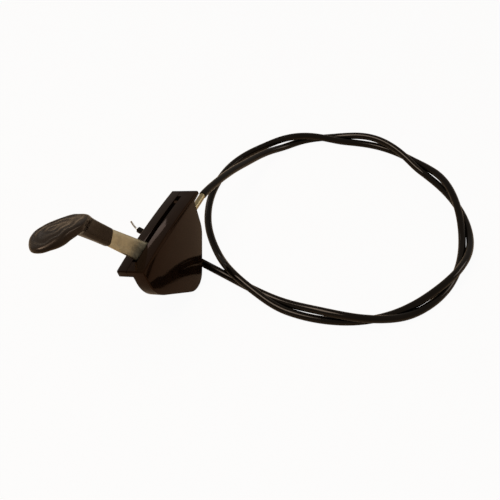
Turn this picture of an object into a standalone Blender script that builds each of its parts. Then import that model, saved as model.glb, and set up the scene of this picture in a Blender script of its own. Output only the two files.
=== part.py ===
# Throttle cable with a hand lever: the construction, one named object per piece.
# Metres, +Z up. Each number at the top is in millimetres and degrees, and is turned into metres where used.
# The housing is drawn upright in its own frame (x along the slot, y to the hidden side, z out of the
# fascia) and then leans back by LEAN, as it rests on the tip of its shield.

import math

import bmesh
import bpy
import numpy as np
from mathutils import Matrix, Vector

MM = 0.001

# Whole
LEAN = 19.12
CLEARANCE = 0.3

# Fascia and slot
FASCIA_LENGTH = 83.4
FASCIA_RIGHT = 10.7
FASCIA_LEFT = 10.7
FASCIA_CROWN = 1.6
FASCIA_THICK = 4.5
FASCIA_END_THICK = 3.0
SLOT_START = 8.6
SLOT_END = 76.3
SLOT_RIGHT = 0.9
SLOT_LEFT = 2.6
PARTING_GAP = 0.3
EDGE_ROUND = 0.8

# Shield of the right half
WALL = 2.0
SHIELD_SHOULDER_DROP = 20.9
SHIELD_TIP_X = 43.1
SHIELD_TIP_Z = 58.15
SHIELD_BACK_X = 71.3
SHIELD_BACK_Z = 24.1
SHIELD_NECK_X = 75.4
SHIELD_NECK_Z = 3.7
SHOULDER_RADIUS = 25.0
TIP_RADIUS = 13.5
BACK_RADIUS = 18.0
RIB_THICK = 1.6
RIB_TOP = 4.5

# Tray of the left half
TRAY_DEPTH = 6.6
TRAY_FLOOR = 2.4
TRAY_WALL = 1.8
TRAY_RADIUS = 12.8
TRAY_TOP_X = 75.2

# Pivot
PIVOT_X = 41.4
PIVOT_Z = 34.0
PIN_DIAMETER = 6.0
PIN_BACK = 7.5
PIN_END = 1.0
BOSS_DIAMETER = 13.0
BUSH_DIAMETER = 9.0
WASHER_THICK = 0.8
SPRING_THICK = 0.4
SPRING_WAVE = 0.15
CLIP_DIAMETER = 10.4
CLIP_THICK = 0.8
CLIP_GROOVE = 0.8

# Lever
KNOB_MOUTH = 77.2
LEVER_REST = 33.4
LEVER_SWING = 70.0
LEVER_THICK = 2.0
LEVER_SIDE = 0.2
LEVER_FOOT_WIDTH = 16.0
WASHER_INSET = 0.5
LEVER_SLOT_WIDTH = 13.7
LEVER_SLOT_AT = 41.9
LEVER_NECK_WIDTH = 10.8
LEVER_NECK_AT = KNOB_MOUTH - CLEARANCE
TONGUE_WIDTH = 7.0
TONGUE_LENGTH = 14.1
TONGUE_END = LEVER_NECK_AT + TONGUE_LENGTH
HOOK_SLOT_WIDTH = 3.0
HOOK_SLOT_FROM = 19.2
HOOK_SLOT_TO = 23.6

# Knob: points of its side view in the lever's own plane (across the lever, along it from the mouth), and
# half widths
KNOB_SECTIONS = (
    ((5.6, 0.0), (-5.9, 0.0), 3.3),
    ((5.8, 5.8), (-5.9, 8.3), 3.4),
    ((6.0, 12.8), (-6.0, 17.8), 3.7),
    ((6.3, 19.8), (-6.1, 26.3), 4.7),
    ((6.6, 24.3), (-6.2, 29.3), 6.5),
    ((6.4, 27.4), (-6.6, 30.8), 8.1),
    ((5.6, 29.2), (-7.2, 32.0), 8.9),
    ((3.5, 32.1), (-7.5, 33.0), 10.4),
    ((0.5, 36.15), (-7.6, 34.3), 12.1),
    ((-2.5, 40.2), (-7.9, 36.2), 13.0),
    ((-5.4, 44.2), (-11.4, 39.8), 12.9),
    ((-8.4, 48.2), (-14.8, 43.4), 12.5),
    ((-11.2, 51.1), (-17.9, 46.1), 12.1),
    ((-14.5, 53.7), (-20.6, 49.2), 11.1),
    ((-18.0, 56.0), (-22.8, 52.4), 8.8),
    ((-20.6, 57.9), (-24.6, 54.9), 6.2),
    ((-22.4, 59.0), (-25.3, 56.9), 3.8),
    ((-23.6, 59.3), (-25.2, 58.1), 1.9),
)
KNOB_CORNER = 3.4
KNOB_MIDDLE = 0.8
KNOB_LEAN = 0.1
RIVET_FROM_MOUTH = 6.8
RIVET_AT = KNOB_MOUTH + RIVET_FROM_MOUTH
RIVET_DIAMETER = 3.2
RIVET_HEAD = 5.0
RIVET_HEAD_THICK = 0.9
RIVET_LENGTH = 4.2

# Screws
SCREW_SPOTS = ((11.2, -10.2), (33.0, -44.0), (50.0, -43.5))
SCREW_SHANK = 2.9
SCREW_HEAD = 5.4
SCREW_HEAD_THICK = 2.0
SCREW_DEPTH = 6.0
LUG_DIAMETER = 6.0

# Wire, ferrule and cable
WIRE_DIAMETER = 1.4
WIRE_SIDE = 2.4
WIRE_DROP = 14.8
WIRE_START = 29.1
WIRE_TAIL = 67.0
WIRE_BEND = 1.3
HOOK_REACH = 3.2
BORE_DIAMETER = 2.0
FERRULE_START = 62.0
FERRULE_RING_AT = 67.4
FERRULE_RING_THICK = 1.0
FERRULE_GROOVE = 1.4
FERRULE_END = 96.2
FERRULE_DIAMETER = 4.6
FERRULE_NOSE = 3.4
FERRULE_TIP = 4.3
FERRULE_TAPER = 3.0
FORK_THICK = 0.8
FORK_HALF = 4.0
FORK_FOOT = 8.4
FORK_TOP = 1.2
JACKET_DIAMETER = 5.5
SLEEVE_DIAMETER = 4.6
SLEEVE_LENGTH = 32.0
SLEEVE_TIP = (76.8, 38.2)
SLEEVE_HEADING = (0.2235, 0.9747)
WIRE_INSIDE = 29.0
WIRE_STRAIGHT = 1.2

# Route of the cable on the ground, seen from above. The two turns cross seven times.
STRAND_PITCH = 6.8
LEAD_IN = (
    (102.4, -7.1, 35.3), (110.7, -8.2, 33.5), (121.0, -9.0, 31.0), (136.0, -10.7, 26.9),
    (150.0, -12.7, 22.4), (163.2, -15.2, 17.8), (179.7, -18.2, 12.4), (197.4, -24.2, 7.0),
    (208.2, -30.2, 3.1),
)
PAIR = (
    (217.3, -35.5), (225.9, -47.2), (235.0, -68.0), (239.4, -93.0), (235.6, -116.0),
    (226.5, -136.5), (211.5, -158.4), (190.0, -176.5), (165.0, -189.0), (139.0, -193.7),
    (112.0, -190.9), (87.0, -180.0), (66.5, -162.5), (52.2, -141.2), (46.0, -116.0),
    (46.0, -91.0), (50.4, -67.5), (55.6, -49.5), (58.4, -43.0),
)
CROSSINGS = (
    (217.3, -35.5), (238.0, -103.0), (202.0, -167.0), (111.5, -190.5), (48.2, -127.0), (58.4, -43.0),
)
MID_ARC = (
    (62.9, -38.9, 8.3), (66.5, -35.5, 5.4), (73.2, -29.4, 3.2), (79.8, -23.4, 2.75),
    (86.0, -18.0, 2.75), (93.4, -12.6, 2.75), (101.5, -7.6, 2.75), (109.2, -4.0, 2.75),
    (117.9, -0.9, 2.75), (126.5, 1.8, 2.75), (141.9, 4.1, 2.75), (152.0, 4.4, 2.75),
    (162.1, 4.1, 2.75), (171.3, 2.4, 2.75), (183.2, -1.6, 2.75), (194.2, -7.3, 3.0),
    (203.3, -15.4, 4.2), (211.4, -24.2, 7.4),
)
LEAD_OUT = ((59.8, -35.2, 2.75), (62.0, -26.6, 2.75), (64.1, -17.6, 2.75))
ROUTE_REACH = 7
ROUTE_POINT_COUNT = 79


def start_empty():
    for item in list(bpy.data.objects):
        bpy.data.objects.remove(item, do_unlink=True)


def material(name, colour, metallic, roughness):
    made = bpy.data.materials.new(name)
    made.use_nodes = True
    shader = made.node_tree.nodes["Principled BSDF"]
    shader.inputs["Base Color"].default_value = (*colour, 1.0)
    shader.inputs["Metallic"].default_value = metallic
    shader.inputs["Roughness"].default_value = roughness
    return made


FINISHES = {
    "black_plastic": ((0.03, 0.02, 0.015), 0.0, 0.15),
    "knob_plastic": ((0.02, 0.02, 0.02), 0.0, 0.3),
    "zinc_steel": ((0.62, 0.60, 0.54), 1.0, 0.35),
    "spring_steel": ((0.35, 0.35, 0.36), 1.0, 0.3),
    "cable_jacket": ((0.02, 0.02, 0.02), 0.0, 0.25),
    "bronze": ((0.55, 0.36, 0.16), 1.0, 0.4),
    "fibre": ((0.32, 0.18, 0.08), 0.0, 0.8),
}


def finish(item, slot):
    """Gives the piece its own material."""
    colour, metallic, roughness = FINISHES[slot]
    item.data.materials.clear()
    item.data.materials.append(material(item.name + "_" + slot, colour, metallic, roughness))
    return item


def empty(name, parent, place, turn):
    made = bpy.data.objects.new(name, None)
    bpy.context.scene.collection.objects.link(made)
    made.parent = parent
    made.location = Vector(place) * MM
    made.rotation_euler = turn
    return made


def from_bmesh(name, bm, parent, smooth=False):
    """Turns a bmesh drawn in millimetres into an object in metres."""
    bmesh.ops.recalc_face_normals(bm, faces=bm.faces)
    bmesh.ops.scale(bm, vec=(MM, MM, MM), verts=bm.verts)
    mesh = bpy.data.meshes.new(name)
    bm.to_mesh(mesh)
    bm.free()
    for face in mesh.polygons:
        face.use_smooth = smooth
    made = bpy.data.objects.new(name, mesh)
    bpy.context.scene.collection.objects.link(made)
    made.parent = parent
    return made


def prism(name, outline, y_from, y_to, parent, rounded_side=None, size=0.0):
    """A flat outline in (x, z) pushed along y. The edges of one side, or of both, may be rounded."""
    bm = bmesh.new()
    corners = [bm.verts.new((x, y_from, z)) for x, z in outline]
    face = bm.faces.new(corners)
    made = bmesh.ops.extrude_face_region(bm, geom=[face])
    moved = [part for part in made["geom"] if isinstance(part, bmesh.types.BMVert)]
    bmesh.ops.translate(bm, vec=(0.0, y_to - y_from, 0.0), verts=moved)
    if rounded_side is not None:
        sides = {"from": (y_from,), "to": (y_to,), "both": (y_from, y_to)}[rounded_side]
        rims = [
            edge for edge in bm.edges
            if any(all(abs(vert.co.y - side) < 1e-6 for vert in edge.verts) for side in sides)
        ]
        bmesh.ops.recalc_face_normals(bm, faces=bm.faces)
        bmesh.ops.bevel(bm, geom=rims, offset=size, offset_type="OFFSET", segments=3,
                        profile=0.5, affect="EDGES", clamp_overlap=True, material=-1)
    return from_bmesh(name, bm, parent)


def turned(name, profile, closed, parent, place, axis, segments=48):
    """Spins a profile of (along, radius) about an axis through place."""
    bm = bmesh.new()
    verts = [bm.verts.new((along, 0.0, radius)) for along, radius in profile]
    edges = [bm.edges.new(pair) for pair in zip(verts, verts[1:])]
    if closed:
        edges.append(bm.edges.new((verts[-1], verts[0])))
    bmesh.ops.spin(bm, geom=verts + edges, cent=(0.0, 0.0, 0.0), axis=(1.0, 0.0, 0.0),
                   angle=math.tau, steps=segments, use_merge=True)
    bmesh.ops.remove_doubles(bm, verts=bm.verts, dist=1e-5)
    on_axis = [vert for vert in bm.verts if math.hypot(vert.co.y, vert.co.z) < 1e-5]
    bmesh.ops.dissolve_verts(bm, verts=on_axis)
    turn = Vector((1.0, 0.0, 0.0)).rotation_difference(Vector(axis)).to_matrix().to_4x4()
    bmesh.ops.transform(bm, matrix=Matrix.Translation(Vector(place)) @ turn, verts=bm.verts)
    return from_bmesh(name, bm, parent, smooth=True)


def ring(name, inner, outer, y_from, y_to, parent, place=(0.0, 0.0), segments=48):
    """A plain washer or tube about the y axis."""
    profile = ((y_from, inner), (y_from, outer), (y_to, outer), (y_to, inner))
    return turned(name, profile, True, parent, (place[0], 0.0, place[1]), (0.0, 1.0, 0.0), segments)


def rod(name, radius, y_from, y_to, parent, place=(0.0, 0.0), segments=48):
    """A solid cylinder about the y axis."""
    profile = ((y_from, 0.0), (y_from, radius), (y_to, radius), (y_to, 0.0))
    return turned(name, profile, False, parent, (place[0], 0.0, place[1]), (0.0, 1.0, 0.0), segments)


def block(name, low, high, parent, matrix=None):
    bm = bmesh.new()
    middle = [(a + b) / 2 for a, b in zip(low, high)]
    spans = [b - a for a, b in zip(low, high)]
    bmesh.ops.create_cube(bm, size=1.0, matrix=Matrix.Translation(middle) @ Matrix.Diagonal((*spans, 1.0)))
    if matrix is not None:
        bmesh.ops.transform(bm, matrix=matrix, verts=bm.verts)
    return from_bmesh(name, bm, parent)


def combine(target, tool, operation):
    """Adds a Boolean modifier and hides the tool."""
    modifier = target.modifiers.new(operation.lower() + "_" + tool.name, "BOOLEAN")
    modifier.operation = operation
    modifier.solver = "EXACT"
    modifier.object = tool
    tool.hide_render = True
    tool.display_type = "WIRE"
    return target


def fillet(corners, steps=8):
    """Rounds each corner of an outline: corners are (x, z, radius)."""
    outline = []
    count = len(corners)
    for index, (x, z, radius) in enumerate(corners):
        here = Vector((x, z))
        if radius <= 0.0:
            outline.append((x, z))
            continue
        before = (Vector(corners[index - 1][:2]) - here).normalized()
        after = (Vector(corners[(index + 1) % count][:2]) - here).normalized()
        half = before.angle(after) / 2
        centre = here + (before + after).normalized() * radius / math.sin(half)
        first = here + before * radius / math.tan(half) - centre
        last = here + after * radius / math.tan(half) - centre
        sweep = first.angle_signed(last)
        for step in range(steps + 1):
            turn = -sweep * step / steps
            outline.append((
                centre.x + first.x * math.cos(turn) - first.y * math.sin(turn),
                centre.y + first.x * math.sin(turn) + first.y * math.cos(turn),
            ))
    return outline


def inset(corners, distance):
    """Moves every side of an outline inwards and keeps the corner radii in step."""
    count = len(corners)
    points = [Vector(corner[:2]) for corner in corners]
    area = sum(points[i].x * points[(i + 1) % count].y - points[(i + 1) % count].x * points[i].y
               for i in range(count))
    side = 1.0 if area > 0 else -1.0
    moved = []
    for index in range(count):
        before = (points[index] - points[index - 1]).normalized()
        after = (points[(index + 1) % count] - points[index]).normalized()
        normal_before = Vector((-before.y, before.x)) * side
        normal_after = Vector((-after.y, after.x)) * side
        both = normal_before + normal_after
        shift = both * distance / (1.0 + normal_before.dot(normal_after))
        turns_in = (before.x * after.y - before.y * after.x) * side > 0
        radius = corners[index][2]
        kept = radius - distance if turns_in else radius + distance
        place = points[index] + shift
        moved.append((place.x, place.y, max(kept, 0.0) if radius > 0 else 0.0))
    return moved


def crown(x):
    return FASCIA_CROWN * (1.0 - ((2.0 * x / FASCIA_LENGTH) - 1.0) ** 2)


def fascia_top(steps=20):
    """The arched top, from the far end back to the near one."""
    spans = [FASCIA_LENGTH - EDGE_ROUND - (FASCIA_LENGTH - 2 * EDGE_ROUND) * i / steps
             for i in range(steps + 1)]
    return [(x, crown(x)) for x in spans]


def shield_corners(top):
    return [
        (0.0, top, 0.0),
        (0.0, -SHIELD_SHOULDER_DROP, SHOULDER_RADIUS),
        (SHIELD_TIP_X, -SHIELD_TIP_Z, TIP_RADIUS),
        (SHIELD_BACK_X, -SHIELD_BACK_Z, BACK_RADIUS),
        (SHIELD_NECK_X, -SHIELD_NECK_Z, 0.0),
    ]


def lever_direction(angle):
    """Unit direction of the lever in (x, z), and the direction across it, after a turn by angle degrees."""
    lean = math.radians(angle - LEVER_REST)
    return Vector((math.sin(lean), math.cos(lean))), Vector((math.cos(lean), -math.sin(lean)))


def screw_bosses(name, y_from, y_to, parent):
    return [rod(name + str(i + 1), LUG_DIAMETER / 2, y_from, y_to, parent, spot)
            for i, spot in enumerate(SCREW_SPOTS)]


def conduit_cutter(name, parent):
    radius = FERRULE_DIAMETER / 2 + CLEARANCE
    return turned(name, ((FERRULE_START, 0.0), (FERRULE_START, radius), (FASCIA_LENGTH, radius),
                         (FASCIA_LENGTH, 0.0)),
                  False, parent, (0.0, -WIRE_SIDE, -WIRE_DROP), (1.0, 0.0, 0.0), 40)


def make_housing_right(frame):
    """The deep moulding: fascia bridge round the slot, shield, walls, ribs, bosses and conduit notch."""
    lower = fillet(shield_corners(-FASCIA_THICK))[1:]
    outline = [(0.0, -EDGE_ROUND)] + lower
    outline += [(FASCIA_LENGTH, -FASCIA_END_THICK), (FASCIA_LENGTH, -EDGE_ROUND)] + fascia_top()
    body = prism("housing_right", outline, -FASCIA_RIGHT, SLOT_LEFT, frame, "from", EDGE_ROUND)

    below = -SHIELD_TIP_Z
    behind = prism("cut_right_behind", (
        (-5.0, below), (90.0, below), (90.0, -FASCIA_THICK), (SLOT_END, -FASCIA_THICK),
        (SLOT_END, 5.0), (SLOT_START, 5.0), (SLOT_START, -FASCIA_THICK), (-5.0, -FASCIA_THICK),
    ), -SLOT_RIGHT, SLOT_LEFT + 2.0, frame)
    combine(body, behind, "DIFFERENCE")

    hollow = fillet(inset(shield_corners(-FASCIA_THICK + WALL), WALL))
    cavity = prism("cut_right_cavity", hollow, -FASCIA_RIGHT + WALL, SLOT_LEFT + 3.0, frame)
    combine(body, cavity, "DIFFERENCE")

    floor = -FASCIA_RIGHT + WALL - 0.5
    face = -LEVER_SIDE - WASHER_THICK - 2 * CLEARANCE
    boss = rod("add_right_boss", BOSS_DIAMETER / 2, floor, face, frame, (PIVOT_X, -PIVOT_Z))
    combine(body, boss, "UNION")
    for side, angle in (("near", 0.0), ("far", LEVER_SWING)):
        along, across = lever_direction(angle)
        reach = (PIVOT_Z - FASCIA_THICK + 0.6) / along.y
        turn = Matrix.Translation((PIVOT_X, 0.0, -PIVOT_Z)) @ Matrix.Rotation(
            math.radians(angle - LEVER_REST), 4, "Y")
        rib = block("add_right_rib_" + side, (-RIB_THICK / 2, floor, BOSS_DIAMETER / 2 - 1.0),
                    (RIB_THICK / 2, -RIB_TOP, reach), frame, turn)
        combine(body, rib, "UNION")
    for boss in screw_bosses("add_right_screw_boss", floor, -SLOT_RIGHT - 0.3, frame):
        combine(body, boss, "UNION")
    stop = block("add_right_fork_stop",
                 (FERRULE_RING_AT - CLEARANCE, floor, -WIRE_DROP - FORK_HALF + 0.4),
                 (FERRULE_RING_AT + FERRULE_RING_THICK, -6.0, -WIRE_DROP + FORK_HALF - 0.4), frame)
    combine(body, stop, "UNION")

    hole = rod("cut_right_pin", PIN_DIAMETER / 2 + CLEARANCE, -PIN_BACK - CLEARANCE, 6.0, frame,
               (PIVOT_X, -PIVOT_Z))
    combine(body, hole, "DIFFERENCE")
    for index, spot in enumerate(SCREW_SPOTS):
        pilot = rod("cut_right_pilot" + str(index + 1), SCREW_SHANK / 2 + CLEARANCE,
                    -SCREW_DEPTH - CLEARANCE, 4.0, frame, spot, 24)
        combine(body, pilot, "DIFFERENCE")
    combine(body, conduit_cutter("cut_right_conduit", frame), "DIFFERENCE")
    return finish(body, "black_plastic")


def tray_corners(top):
    """Outline of the tray: two sides that clear the lever's ends, tangent to a circle round the pivot."""
    pivot = Vector((PIVOT_X, -PIVOT_Z))
    along, across = lever_direction(0.0)
    near_touch = pivot - across * TRAY_RADIUS
    far_top = Vector((TRAY_TOP_X, -FASCIA_THICK))
    reach = far_top - pivot
    lean = math.atan2(reach.y, reach.x) + math.asin(TRAY_RADIUS / reach.length)
    far_along = Vector((math.cos(lean), math.sin(lean)))
    cross = along.x * far_along.y - along.y * far_along.x
    gap = far_top - near_touch
    step = (gap.x * far_along.y - gap.y * far_along.x) / cross
    tip = near_touch + along * step
    near_top = near_touch + along * (top - near_touch.y) / along.y
    far_end = far_top + far_along * (top - far_top.y) / far_along.y
    return [(near_top.x, top, 0.0), (tip.x, tip.y, TRAY_RADIUS), (far_end.x, top, 0.0)]


def make_housing_left(frame):
    """The other strip of the fascia with the shallow tray that closes the lever's space."""
    outline = [(0.0, -EDGE_ROUND), (0.0, -FASCIA_THICK), (SHIELD_NECK_X - 1.0, -FASCIA_THICK),
               (SHIELD_NECK_X, -SHIELD_NECK_Z), (FASCIA_LENGTH, -FASCIA_END_THICK),
               (FASCIA_LENGTH, -EDGE_ROUND)] + fascia_top()
    body = prism("housing_left", outline, SLOT_LEFT - 0.9, FASCIA_LEFT, frame, "to", EDGE_ROUND)
    rim = -SLOT_RIGHT + PARTING_GAP
    tray = prism("add_left_tray", fillet(tray_corners(-2.0)), rim, TRAY_DEPTH, frame, "to", EDGE_ROUND)
    combine(body, tray, "UNION")
    hollow = fillet(inset(tray_corners(-FASCIA_THICK + 0.5 + TRAY_WALL), TRAY_WALL))
    cavity = prism("cut_left_cavity", hollow, rim - 3.0, TRAY_DEPTH - TRAY_FLOOR, frame)
    combine(body, cavity, "DIFFERENCE")
    for lug in screw_bosses("add_left_lug", rim + 0.2, TRAY_DEPTH - 0.9, frame):
        combine(body, lug, "UNION")
    parting = block("cut_left_parting", (-5.0, -5.0, -FASCIA_THICK - CLEARANCE),
                    (90.0, SLOT_LEFT + PARTING_GAP, 5.0), frame)
    combine(body, parting, "DIFFERENCE")
    hole = rod("cut_left_pin", PIN_DIAMETER / 2 + CLEARANCE, 0.0, 12.0, frame, (PIVOT_X, -PIVOT_Z))
    combine(body, hole, "DIFFERENCE")
    for index, spot in enumerate(SCREW_SPOTS):
        clear = rod("cut_left_screw" + str(index + 1), SCREW_SHANK / 2 + CLEARANCE, -4.0, 12.0, frame, spot, 24)
        combine(body, clear, "DIFFERENCE")
    combine(body, conduit_cutter("cut_left_conduit", frame), "DIFFERENCE")
    return finish(body, "black_plastic")


def make_pivot(frame):
    """Pin, washers and clip, stacked along the pin with a clearance between each pair."""
    spot = (PIVOT_X, -PIVOT_Z)
    bore = PIN_DIAMETER / 2 + CLEARANCE
    washer = LEVER_FOOT_WIDTH / 2 - WASHER_INSET
    lever_back = -LEVER_SIDE + LEVER_THICK
    outer_washer = TRAY_DEPTH + CLEARANCE
    clip_from = outer_washer + WASHER_THICK + CLEARANCE
    groove_from = clip_from - CLEARANCE / 2
    groove_to = clip_from + CLIP_THICK + CLEARANCE / 2
    front = clip_from + CLIP_THICK + PIN_END
    radius = PIN_DIAMETER / 2
    pin = turned("pivot_pin", (
        (-PIN_BACK, 0.0), (-PIN_BACK, radius - 0.5), (-PIN_BACK + 0.5, radius), (groove_from, radius),
        (groove_from, radius - CLIP_GROOVE), (groove_to, radius - CLIP_GROOVE), (groove_to, radius),
        (front - 0.4, radius), (front, radius - 0.4), (front, 0.0),
    ), False, frame, (spot[0], 0.0, spot[1]), (0.0, 1.0, 0.0))
    finish(pin, "zinc_steel")
    right = ring("friction_washer_right", bore, washer, -LEVER_SIDE - CLEARANCE - WASHER_THICK,
                 -LEVER_SIDE - CLEARANCE, frame, spot)
    finish(right, "fibre")
    left_from = lever_back + CLEARANCE
    left = ring("friction_washer_left", bore, washer, left_from, left_from + WASHER_THICK, frame, spot)
    finish(left, "fibre")

    spring_from = left_from + WASHER_THICK + CLEARANCE
    spring = ring("spring_washer", bore, washer - 0.6, spring_from, spring_from + SPRING_THICK,
                  frame, spot)
    for vert in spring.data.vertices:
        angle = math.atan2(vert.co.z / MM - spot[1], vert.co.x / MM - spot[0])
        vert.co.y += SPRING_WAVE * (1.0 + math.cos(3 * angle)) * MM
    finish(spring, "spring_steel")
    finish(ring("pin_washer", bore, washer - 1.0, outer_washer, outer_washer + WASHER_THICK,
                frame, spot), "zinc_steel")

    inner = radius - CLIP_GROOVE + CLEARANCE
    mouth = math.radians(32.0)
    outline = []
    for step in range(33):
        angle = mouth + (math.tau - 2 * mouth) * step / 32
        outline.append((spot[0] + CLIP_DIAMETER / 2 * math.sin(angle),
                        spot[1] - CLIP_DIAMETER / 2 * math.cos(angle)))
    for step in range(33):
        angle = math.tau - mouth - (math.tau - 2 * mouth) * step / 32
        bulge = inner + 1.1 * (0.5 - 0.5 * math.cos(3 * angle)) * (1.0 if 0.6 < angle < math.tau - 0.6 else 0.0)
        outline.append((spot[0] + bulge * math.sin(angle), spot[1] - bulge * math.cos(angle)))
    finish(prism("pin_clip", outline, clip_from, clip_from + CLIP_THICK, frame), "spring_steel")


def make_screws(frame):
    """Pan-head screws from the hidden side, with a cross recess."""
    head_from = TRAY_DEPTH + CLEARANCE
    radius = SCREW_HEAD / 2
    for index, (x, z) in enumerate(SCREW_SPOTS):
        name = "housing_screw_" + str(index + 1)
        screw = turned(name, (
            (-SCREW_DEPTH, 0.0), (-SCREW_DEPTH + 1.2, SCREW_SHANK / 2), (head_from, SCREW_SHANK / 2),
            (head_from, radius), (head_from + 0.9, radius), (head_from + 1.5, radius * 0.88),
            (head_from + SCREW_HEAD_THICK - 0.1, radius * 0.55), (head_from + SCREW_HEAD_THICK, 0.0),
        ), False, frame, (x, 0.0, z), (0.0, 1.0, 0.0), 32)
        for arm, (half_x, half_z) in enumerate(((1.5, 0.35), (0.35, 1.5))):
            cross = block("cut_" + name + "_cross" + str(arm + 1), (x - half_x, head_from + 0.7, z - half_z),
                          (x + half_x, head_from + 4.0, z + half_z), frame)
            combine(screw, cross, "DIFFERENCE")
        finish(screw, "zinc_steel")


def lever_half_width(along):
    """Half width of the flat bar: one taper from foot to fascia, a second one on to the neck."""
    if along < LEVER_SLOT_AT:
        share = along / LEVER_SLOT_AT
        return (LEVER_FOOT_WIDTH + (LEVER_SLOT_WIDTH - LEVER_FOOT_WIDTH) * share) / 2
    share = (along - LEVER_SLOT_AT) / (LEVER_NECK_AT - LEVER_SLOT_AT)
    return (LEVER_SLOT_WIDTH + (LEVER_NECK_WIDTH - LEVER_SLOT_WIDTH) * share) / 2


def make_lever(axis):
    """The bar, its bush, the moulded knob and the rivet that holds it. Drawn about the pivot axis."""
    foot = LEVER_FOOT_WIDTH / 2
    shoulder = LEVER_NECK_WIDTH / 2
    tongue = TONGUE_WIDTH / 2
    outline = [(foot * math.cos(a), -foot * math.sin(a)) for a in (math.pi * i / 24 for i in range(25))]
    outline = [(-x, z) for x, z in outline]
    outline += fillet([
        (foot, 0.0, 0.0), (lever_half_width(LEVER_SLOT_AT), LEVER_SLOT_AT, 0.0),
        (shoulder, LEVER_NECK_AT, 0.8), (tongue, LEVER_NECK_AT, 0.5), (tongue, TONGUE_END, 1.2),
        (-tongue, TONGUE_END, 1.2), (-tongue, LEVER_NECK_AT, 0.5), (-shoulder, LEVER_NECK_AT, 0.8),
        (-lever_half_width(LEVER_SLOT_AT), LEVER_SLOT_AT, 0.0), (-foot, 0.0, 0.0),
    ], 4)[1:-1]
    back = -LEVER_SIDE + LEVER_THICK
    arm = prism("lever_arm", outline, -LEVER_SIDE, back, axis, "both", 0.25)
    combine(arm, rod("cut_arm_bush", BUSH_DIAMETER / 2 + CLEARANCE, -4.0, 6.0, axis), "DIFFERENCE")
    wide = HOOK_SLOT_WIDTH / 2
    angles = [math.pi * i / 16 for i in range(17)]
    slot = [(wide * math.cos(a), HOOK_SLOT_TO + wide * math.sin(a)) for a in angles]
    slot += [(-wide * math.cos(a), HOOK_SLOT_FROM - wide * math.sin(a)) for a in angles]
    combine(arm, prism("cut_arm_hook_slot", slot, -4.0, 6.0, axis), "DIFFERENCE")
    combine(arm, rod("cut_arm_rivet", RIVET_DIAMETER / 2 + CLEARANCE, -4.0, 6.0, axis, (0.0, RIVET_AT), 32),
            "DIFFERENCE")
    finish(arm, "zinc_steel")

    bush = ring("pivot_bush", PIN_DIAMETER / 2 + CLEARANCE, BUSH_DIAMETER / 2, -LEVER_SIDE, back, axis)
    finish(bush, "bronze")

    knob = make_knob(axis)
    middle = -LEVER_SIDE + LEVER_THICK / 2
    pocket = block("cut_knob_pocket",
                   (-tongue - CLEARANCE, middle - LEVER_THICK / 2 - CLEARANCE, KNOB_MOUTH - 5.0),
                   (tongue + CLEARANCE, middle + LEVER_THICK / 2 + CLEARANCE, TONGUE_END + CLEARANCE), axis)
    combine(knob, pocket, "DIFFERENCE")
    hidden = KNOB_MIDDLE + KNOB_SECTIONS[1][2]
    head_from = hidden - RIVET_HEAD_THICK - 0.2
    cut_hole = turned("cut_knob_rivet", (
        (head_from - RIVET_LENGTH - CLEARANCE, 0.0),
        (head_from - RIVET_LENGTH - CLEARANCE, RIVET_DIAMETER / 2 + CLEARANCE),
        (head_from - CLEARANCE, RIVET_DIAMETER / 2 + CLEARANCE),
        (head_from - CLEARANCE, RIVET_HEAD / 2 + CLEARANCE),
        (hidden + 4.0, RIVET_HEAD / 2 + CLEARANCE), (hidden + 4.0, 0.0),
    ), False, axis, (0.0, 0.0, RIVET_AT), (0.0, 1.0, 0.0), 32)
    combine(knob, cut_hole, "DIFFERENCE")
    finish(knob, "knob_plastic")
    rivet = turned("knob_rivet", (
        (head_from - RIVET_LENGTH, 0.0), (head_from - RIVET_LENGTH, RIVET_DIAMETER / 2 - 0.4),
        (head_from - RIVET_LENGTH + 0.4, RIVET_DIAMETER / 2), (head_from, RIVET_DIAMETER / 2),
        (head_from, RIVET_HEAD / 2), (head_from + 0.4, RIVET_HEAD / 2),
        (head_from + RIVET_HEAD_THICK, RIVET_HEAD / 2 - 0.8), (head_from + RIVET_HEAD_THICK, 0.0),
    ), False, axis, (0.0, 0.0, RIVET_AT), (0.0, 1.0, 0.0), 32)
    finish(rivet, "zinc_steel")


def make_knob(axis):
    """A loft through rounded sections: neck sleeve, elbow and paddle."""
    bm = bmesh.new()
    around = 40
    rings = []
    for (outer_x, outer_z), (inner_x, inner_z), half in KNOB_SECTIONS:
        middle_x = (outer_x + inner_x) / 2
        middle_z = KNOB_MOUTH + (outer_z + inner_z) / 2
        reach_x = (outer_x - inner_x) / 2
        reach_z = (outer_z - inner_z) / 2
        middle_y = KNOB_MIDDLE + KNOB_LEAN * (half - KNOB_SECTIONS[0][2])
        loop = []
        for step in range(around):
            angle = math.tau * (step + 0.5) / around
            c = math.copysign(abs(math.cos(angle)) ** (2 / KNOB_CORNER), math.cos(angle))
            s = math.copysign(abs(math.sin(angle)) ** (2 / KNOB_CORNER), math.sin(angle))
            loop.append(bm.verts.new((middle_x + reach_x * c, middle_y + half * s, middle_z + reach_z * c)))
        rings.append(loop)
    for lower, upper in zip(rings, rings[1:]):
        for step in range(around):
            after = (step + 1) % around
            bm.faces.new((lower[step], lower[after], upper[after], upper[step]))
    bm.faces.new(rings[0])
    bm.faces.new(rings[-1])
    return from_bmesh("lever_knob", bm, axis, smooth=True)


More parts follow.
